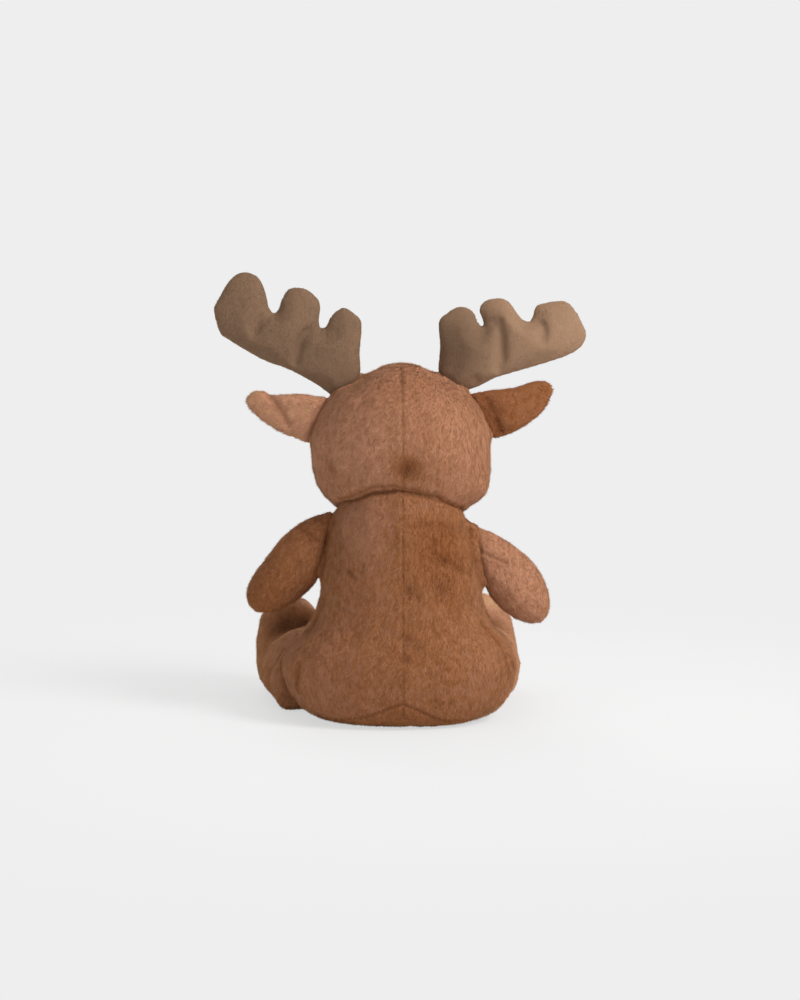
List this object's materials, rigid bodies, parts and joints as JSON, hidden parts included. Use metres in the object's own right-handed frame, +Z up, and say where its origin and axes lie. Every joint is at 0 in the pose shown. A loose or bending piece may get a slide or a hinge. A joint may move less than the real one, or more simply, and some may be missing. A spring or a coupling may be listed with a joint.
{
  "type": "plush toy deer",
  "caption": "Sitting plush toy deer with a nodding round head, flexing side ears and stuffed antlers, and soft arms and legs on sewn hinges; it rests on a flat seat.",
  "frame": {"origin": "centre of the bounding box at floor level, under the sitting body", "axes": "+Z up; the deer faces -Y and its own left side is +X"},
  "size_m": [0.2451, 0.1848, 0.2997],
  "materials": {
    "brown_plush": "short reddish brown plush pile, matt",
    "tan_plush": "short tan plush pile, matt",
    "taupe_plush": "very short taupe plush pile, matt",
    "fibre": "loose white fibre filling",
    "bead_cloth": "plain woven pouch cloth",
    "black_plastic": "polished black",
    "clear_plastic": "natural moulded"
  },
  "bodies": {
    "torso": {"torso_back_left": "brown_plush", "torso_back_right": "brown_plush", "belly_panel": "tan_plush", "seat_panel": "brown_plush", "torso_filling": "fibre", "bead_pouch": "bead_cloth"},
    "head": {"head_back_left": "brown_plush", "head_back_right": "brown_plush", "forehead_gusset": "brown_plush", "cheek_left": "brown_plush", "cheek_right": "brown_plush", "muzzle_panel": "tan_plush", "head_filling": "fibre", "eye_left": "black_plastic", "eye_left_washer": "clear_plastic", "eye_right": "black_plastic", "eye_right_washer": "clear_plastic", "nose": "black_plastic", "nose_washer": "clear_plastic"},
    "arm_left": {"arm_left_back_panel": "brown_plush", "arm_left_front_panel": "brown_plush", "arm_left_filling": "fibre"},
    "arm_right": {"arm_right_back_panel": "brown_plush", "arm_right_front_panel": "brown_plush", "arm_right_filling": "fibre"},
    "leg_left": {"leg_left_outer_panel": "brown_plush", "leg_left_inner_panel": "brown_plush", "sole_left": "taupe_plush", "leg_left_filling": "fibre"},
    "leg_right": {"leg_right_outer_panel": "brown_plush", "leg_right_inner_panel": "brown_plush", "sole_right": "taupe_plush", "leg_right_filling": "fibre"},
    "ear_left": {"ear_left_back_panel": "brown_plush", "ear_left_lining": "tan_plush"},
    "ear_right": {"ear_right_back_panel": "brown_plush", "ear_right_lining": "tan_plush"},
    "antler_left": {"antler_left_back_panel": "taupe_plush", "antler_left_front_panel": "taupe_plush", "antler_left_filling": "fibre"},
    "antler_right": {"antler_right_back_panel": "taupe_plush", "antler_right_front_panel": "taupe_plush", "antler_right_filling": "fibre"}
  },
  "joints": [
    {"name": "head_nod", "type": "hinge", "parent": "torso", "child": "head", "pos_m": [0, 0.0378, 0.13], "axis": [1, 0, 0], "range_deg": [-8, 10], "stiffness_Nm_per_rad": 0.6},
    {"name": "arm_left_swing", "type": "hinge", "parent": "torso", "child": "arm_left", "pos_m": [0.04716, 0.0378, 0.11747], "axis": [0.2969, 0, -0.9549], "range_deg": [-15, 25], "stiffness_Nm_per_rad": 0.05},
    {"name": "arm_right_swing", "type": "hinge", "parent": "torso", "child": "arm_right", "pos_m": [-0.04956, 0.0378, 0.11097], "axis": [0.2415, 0, 0.9704], "range_deg": [-15, 25], "stiffness_Nm_per_rad": 0.05},
    {"name": "leg_left_spread", "type": "hinge", "parent": "torso", "child": "leg_left", "pos_m": [0.05542, 0.0054, 0.023], "axis": [0, 0, 1], "range_deg": [-5, 12], "stiffness_Nm_per_rad": 0.1},
    {"name": "leg_right_spread", "type": "hinge", "parent": "torso", "child": "leg_right", "pos_m": [-0.05542, 0.0054, 0.023], "axis": [0, 0, -1], "range_deg": [-5, 12], "stiffness_Nm_per_rad": 0.1},
    {"name": "ear_left_flex", "type": "hinge", "parent": "head", "child": "ear_left", "pos_m": [0.05526, 0.0308, 0.20036], "axis": [0.4126, 0, -0.9109], "range_deg": [-20, 35], "stiffness_Nm_per_rad": 0.01},
    {"name": "ear_right_flex", "type": "hinge", "parent": "head", "child": "ear_right", "pos_m": [-0.05526, 0.0308, 0.20036], "axis": [0.4126, 0, 0.9109], "range_deg": [-20, 35], "stiffness_Nm_per_rad": 0.01},
    {"name": "antler_left_flex", "type": "hinge", "parent": "head", "child": "antler_left", "pos_m": [0.0347, 0.0308, 0.22525], "axis": [0.8355, 0, -0.5495], "range_deg": [-12, 12], "stiffness_Nm_per_rad": 0.08},
    {"name": "antler_right_flex", "type": "hinge", "parent": "head", "child": "antler_right", "pos_m": [-0.0347, 0.0308, 0.22525], "axis": [0.8355, 0, 0.5495], "range_deg": [-12, 12], "stiffness_Nm_per_rad": 0.08}
  ]
}
